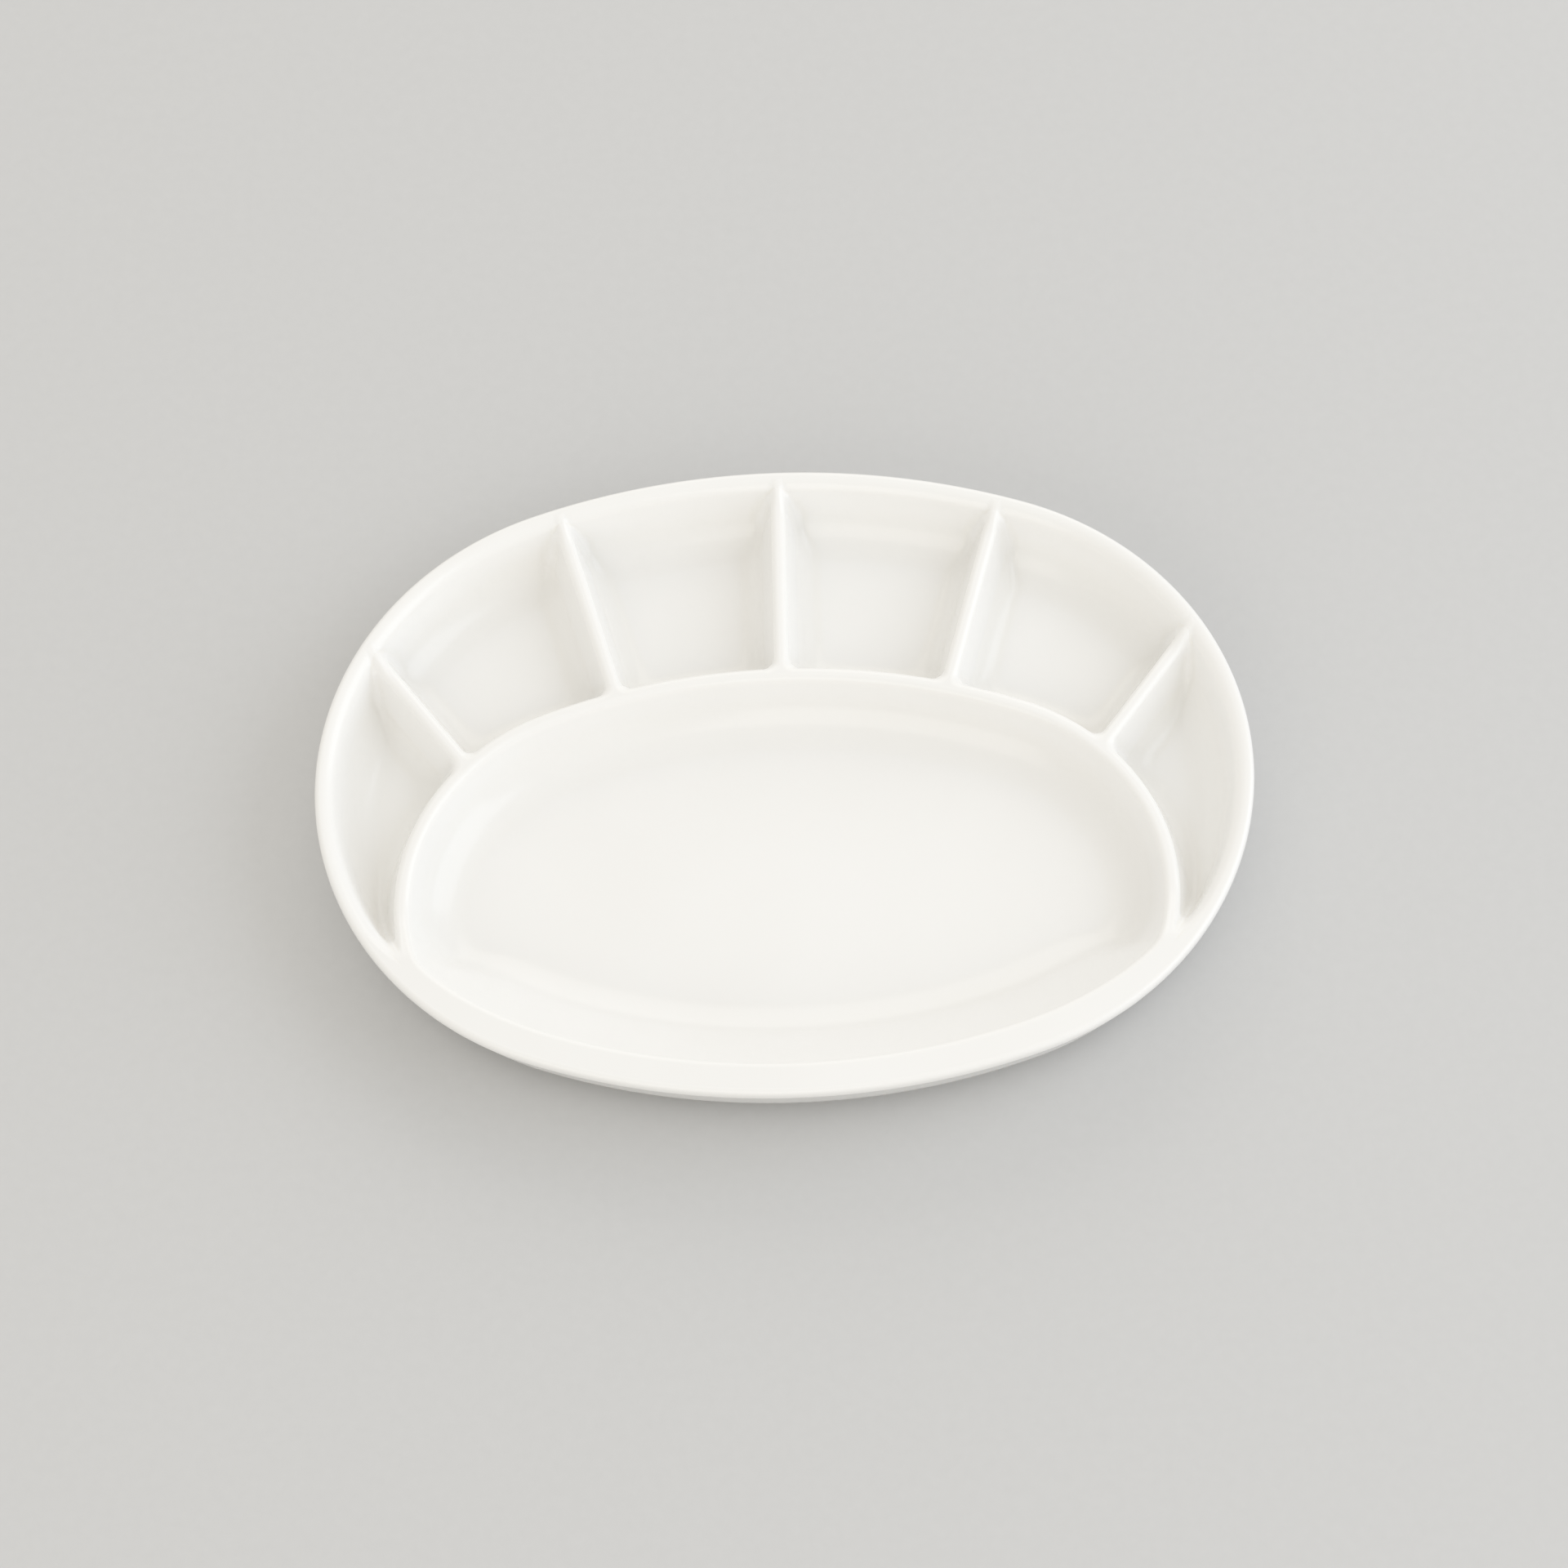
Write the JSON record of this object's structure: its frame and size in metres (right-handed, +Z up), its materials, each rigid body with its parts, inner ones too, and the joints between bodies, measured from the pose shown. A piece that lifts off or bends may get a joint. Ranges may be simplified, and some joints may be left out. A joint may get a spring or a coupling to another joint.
{
  "type": "divided serving dish",
  "caption": "Shallow oval serving dish in white glazed porcelain: a main well at the front, and a crescent of small compartments behind it, on a low foot ring.",
  "frame": {"origin": "on the table, in the middle of the dish's length and width", "axes": "+X along the length to the right, +Y from the front rim to the back wall, +Z up"},
  "size_m": [0.28, 0.21, 0.03],
  "materials": {
    "white_glaze": "clear gloss glaze on warm white porcelain",
    "bare_foot": "unglazed, ground flat, with a fine dry grain"
  },
  "bodies": {
    "root": {"foot_ring_left": "bare_foot", "foot_ring_front": "bare_foot", "foot_ring_right": "bare_foot", "foot_ring_back": "bare_foot", "front_rim_left": "white_glaze", "front_rim_middle": "white_glaze", "front_rim_right": "white_glaze", "well_slope_left": "white_glaze", "well_slope_middle": "white_glaze", "well_slope_right": "white_glaze", "back_wall_left": "white_glaze", "back_wall_middle": "white_glaze", "back_wall_right": "white_glaze", "curved_divider_left": "white_glaze", "curved_divider_middle": "white_glaze", "curved_divider_right": "white_glaze", "well_corner_left": "white_glaze", "well_corner_right": "white_glaze", "well_floor": "white_glaze", "compartment_1_floor": "white_glaze", "compartment_2_floor": "white_glaze", "compartment_3_floor": "white_glaze", "compartment_4_floor": "white_glaze", "compartment_5_floor": "white_glaze", "compartment_6_floor": "white_glaze", "divider_1": "white_glaze", "divider_2": "white_glaze", "divider_3": "white_glaze", "divider_4": "white_glaze", "divider_5": "white_glaze"}
  },
  "joints": []
}
